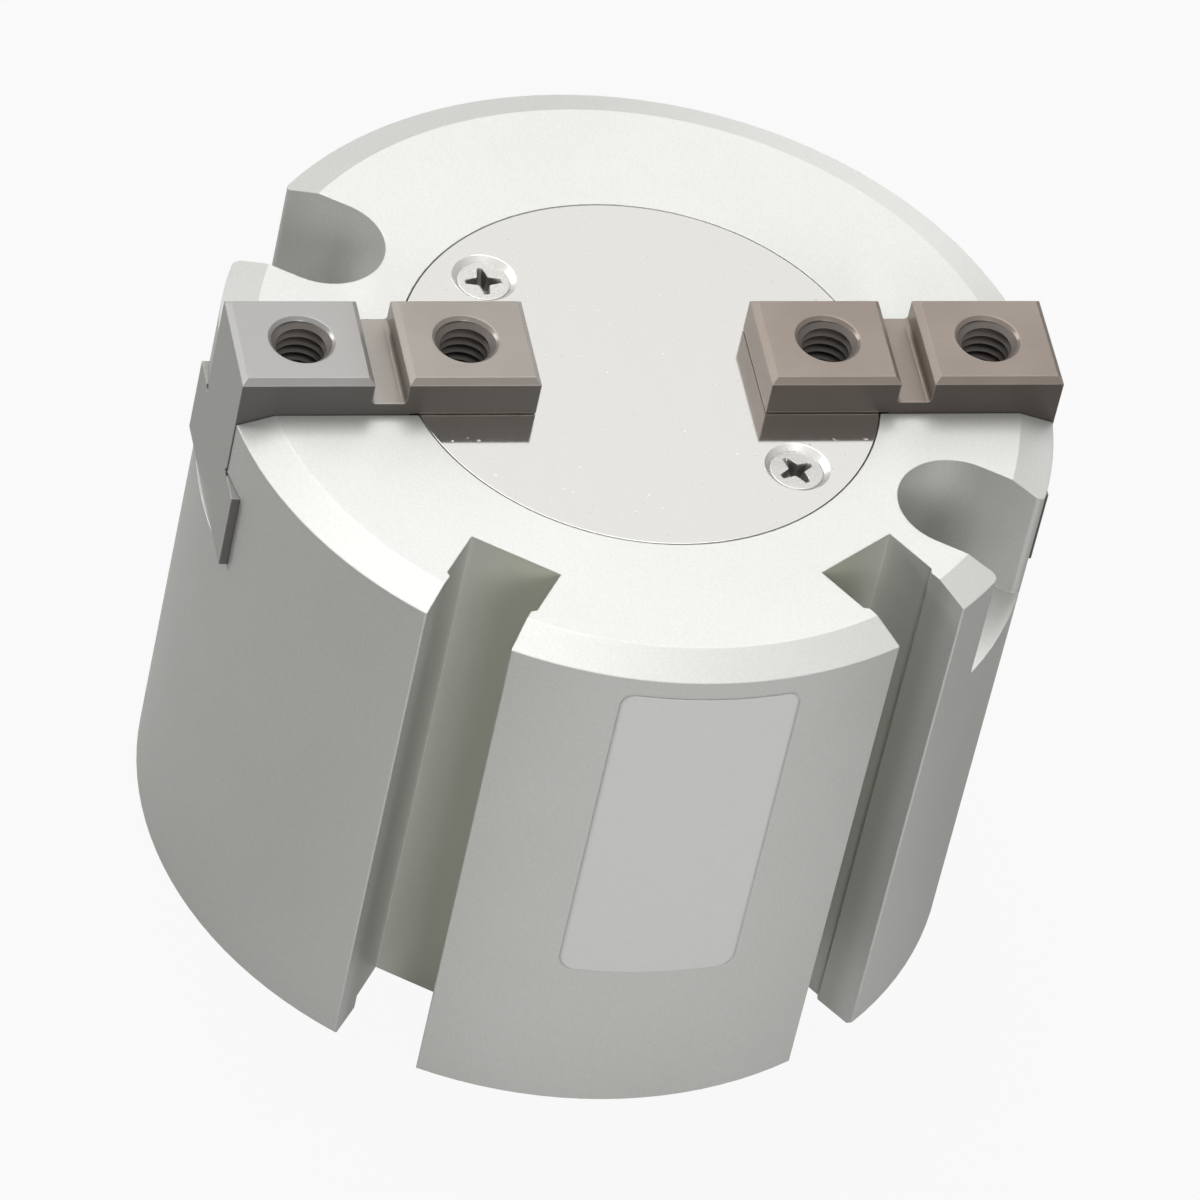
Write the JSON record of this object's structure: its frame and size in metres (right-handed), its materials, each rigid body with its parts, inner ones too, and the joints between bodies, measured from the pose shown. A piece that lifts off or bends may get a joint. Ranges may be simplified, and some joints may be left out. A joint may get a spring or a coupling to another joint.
{
  "type": "pneumatic gripper",
  "caption": "Round-body parallel pneumatic gripper: a piston lifts a wedge cam that slides opposed fingers apart along a T-slot.",
  "frame": {"origin": "centre of the mounting face", "axes": "+Z from the mounting face to the finger face, X along the travel of the fingers, the sensor grooves towards -Y and the air ports towards +Y"},
  "size_m": [0.056, 0.056, 0.044],
  "materials": {
    "body_aluminium": "clear anodised, fine matt",
    "plate_stainless": "bright rolled sheet",
    "screw_nickel": "nickel plated",
    "finger_steel": "ground and hardened",
    "cam_steel": "ground and hardened",
    "inner_aluminium": "hard anodised, turned",
    "spring_steel": "phosphated",
    "seal_rubber": "moulded nitrile",
    "bumper_rubber": "moulded urethane",
    "wear_plastic": "acetal strip",
    "magnet_rubber": "rubber-bonded ferrite"
  },
  "bodies": {
    "housing": {"gripper_body": "body_aluminium", "end_plate": "plate_stainless", "end_plate_screw_1": "screw_nickel", "end_plate_screw_2": "screw_nickel", "cylinder_cap": "inner_aluminium", "cap_o_ring": "seal_rubber", "retaining_ring": "spring_steel", "lower_bumper": "bumper_rubber", "rod_seal": "seal_rubber"},
    "drive": {"piston": "inner_aluminium", "piston_seal": "seal_rubber", "wear_ring": "wear_plastic", "magnet_ring": "magnet_rubber", "upper_bumper": "bumper_rubber", "cam_bolt": "spring_steel", "bolt_seal": "seal_rubber", "wedge_cam": "cam_steel"},
    "finger_right": {"finger_right": "finger_steel"},
    "finger_left": {"finger_left": "finger_steel"}
  },
  "joints": [
    {"name": "piston_slide", "type": "slide", "parent": "housing", "child": "drive", "axis": [0, 0, 1], "range_m": [0, 0.004]},
    {"name": "finger_right_slide", "type": "slide", "parent": "housing", "child": "finger_right", "axis": [1, 0, 0], "range_m": [0, 0.004]},
    {"name": "finger_left_slide", "type": "slide", "parent": "housing", "child": "finger_left", "axis": [-1, 0, 0], "range_m": [0, 0.004]}
  ],
  "couplings": [
    {"joint": "finger_right_slide", "follows": "piston_slide", "ratio": 1},
    {"joint": "finger_left_slide", "follows": "piston_slide", "ratio": 1}
  ]
}
